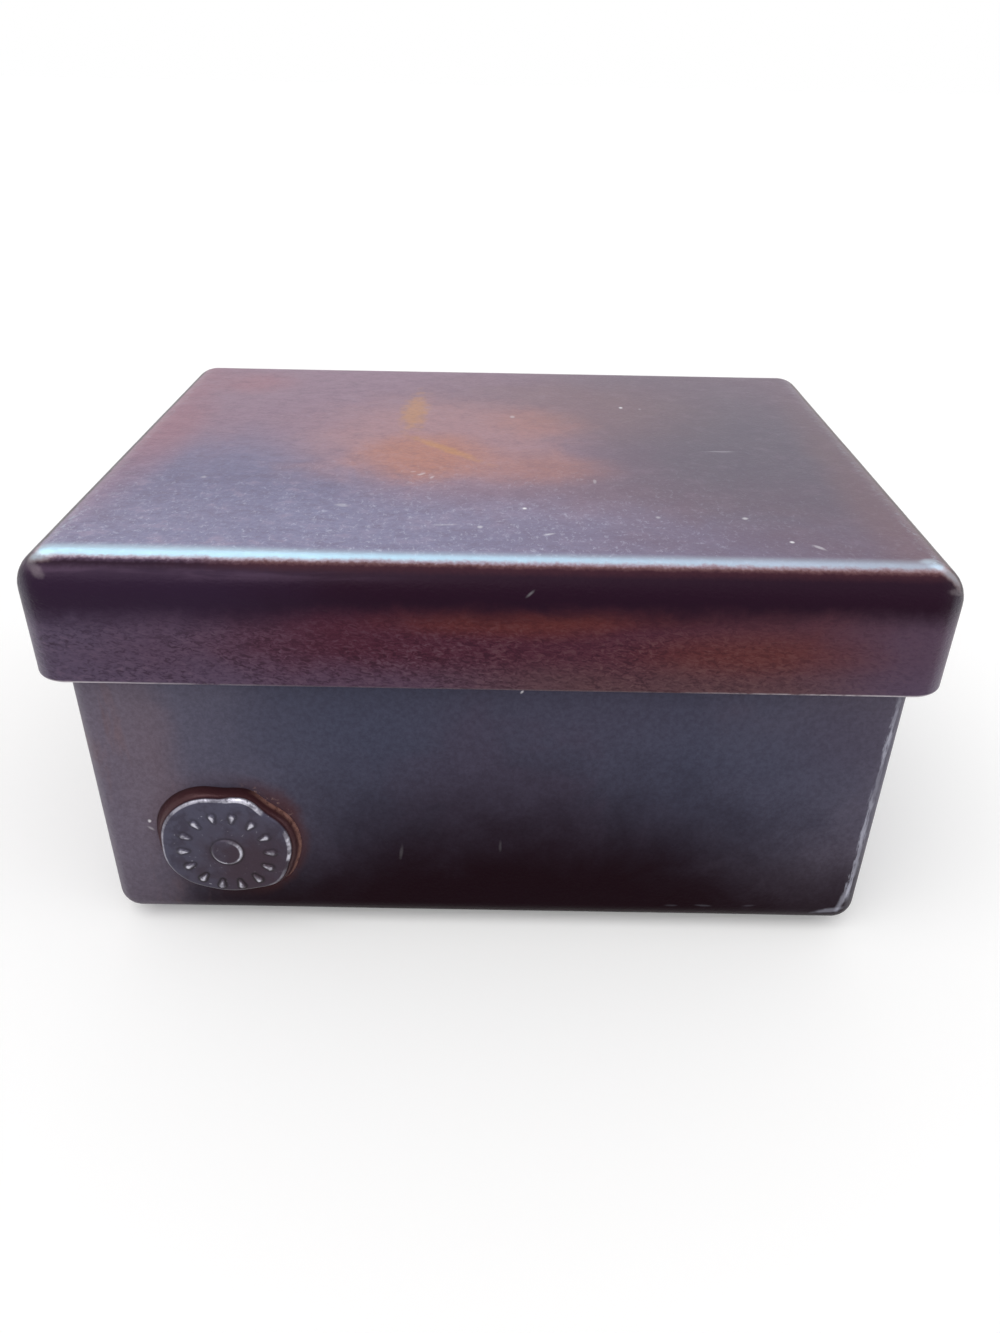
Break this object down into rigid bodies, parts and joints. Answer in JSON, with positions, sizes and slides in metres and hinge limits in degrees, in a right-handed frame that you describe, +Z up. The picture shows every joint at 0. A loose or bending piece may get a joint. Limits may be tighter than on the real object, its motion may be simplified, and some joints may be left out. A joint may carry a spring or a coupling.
{
  "type": "metal trinket box",
  "caption": "Oblong iron trinket box with a deep lift-off cap lid, softened edges, a cast round seal low on the front and a velvet-lined inside.",
  "frame": {"origin": "on the surface that the box stands on, under the middle of its overall outline", "axes": "+X to the right along the long side, +Y from the front with the seal to the back, +Z up"},
  "size_m": [0.1602, 0.1252, 0.0837],
  "materials": {
    "box_iron": "violet and slate patina under clear lacquer, pebbled, edges rubbed bright",
    "lid_iron": "mauve and copper patina under clear lacquer, smooth top, pebbled skirt",
    "seal_iron": "cast, slate grey with rust-brown sides and rubbed raised work",
    "lining_velvet": "short-pile velvet over card",
    "foot_felt": "pressed wool felt"
  },
  "bodies": {
    "base": {"base_shell": "box_iron", "seal_medallion": "seal_iron", "floor_lining": "lining_velvet", "front_lining": "lining_velvet", "back_lining": "lining_velvet", "left_lining": "lining_velvet", "right_lining": "lining_velvet", "foot_pad_front_left": "foot_felt", "foot_pad_front_right": "foot_felt", "foot_pad_back_left": "foot_felt", "foot_pad_back_right": "foot_felt"},
    "lid": {"lid_shell": "lid_iron", "lid_lining": "lining_velvet"}
  },
  "joints": [
    {"name": "lid_lift", "type": "slide", "parent": "base", "child": "lid", "axis": [0, 0, 1], "range_m": [0, 0.085]}
  ]
}
